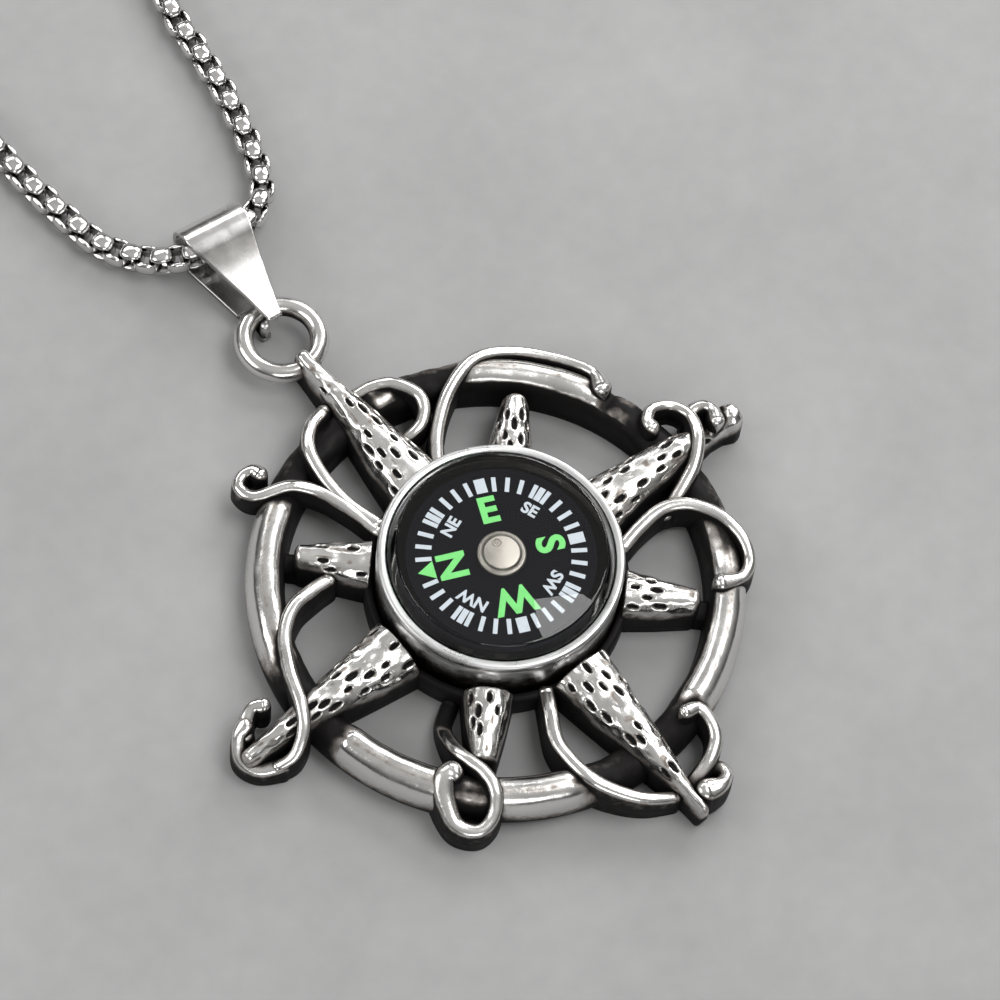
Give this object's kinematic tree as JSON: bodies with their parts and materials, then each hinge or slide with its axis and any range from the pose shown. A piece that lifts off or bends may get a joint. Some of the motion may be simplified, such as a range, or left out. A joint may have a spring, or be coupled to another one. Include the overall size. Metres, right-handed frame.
{
  "type": "compass pendant on a chain",
  "caption": "Ship's wheel pendant with vines curling round its spokes, a round liquid compass set in the middle, and a folded bail on a box chain with a plain clasp.",
  "frame": {"origin": "on the compass's axis at the pendant's back face, which lies on the table", "axes": "+Z out of the dial, +Y towards the hanging loop and the bail, +X to the right seen from the front with the bail up"},
  "size_m": [0.1186, 0.3298, 0.0097],
  "materials": {
    "antique_silver": "silver plating, black in the hollows and polished on the crests",
    "bright_steel": "polished steel with a fine grain",
    "case_metal": "bright turned metal",
    "crystal": "clear moulded acrylic over a clear liquid",
    "card_print": "black card printed in white and pale green",
    "cap_metal": "satin"
  },
  "bodies": {
    "pendant": {"casting": "antique_silver", "compass_case": "case_metal", "compass_lens": "crystal", "pivot_pin": "bright_steel", "bail": "bright_steel", "chain": "bright_steel", "clasp": "bright_steel"},
    "dial": {"compass_card": "card_print", "card_cap": "cap_metal"}
  },
  "joints": [
    {"name": "dial_spin", "type": "hinge", "parent": "pendant", "child": "dial", "pos_m": [0, 0, 0.0073], "axis": [0, 0, 1], "continuous": true}
  ]
}
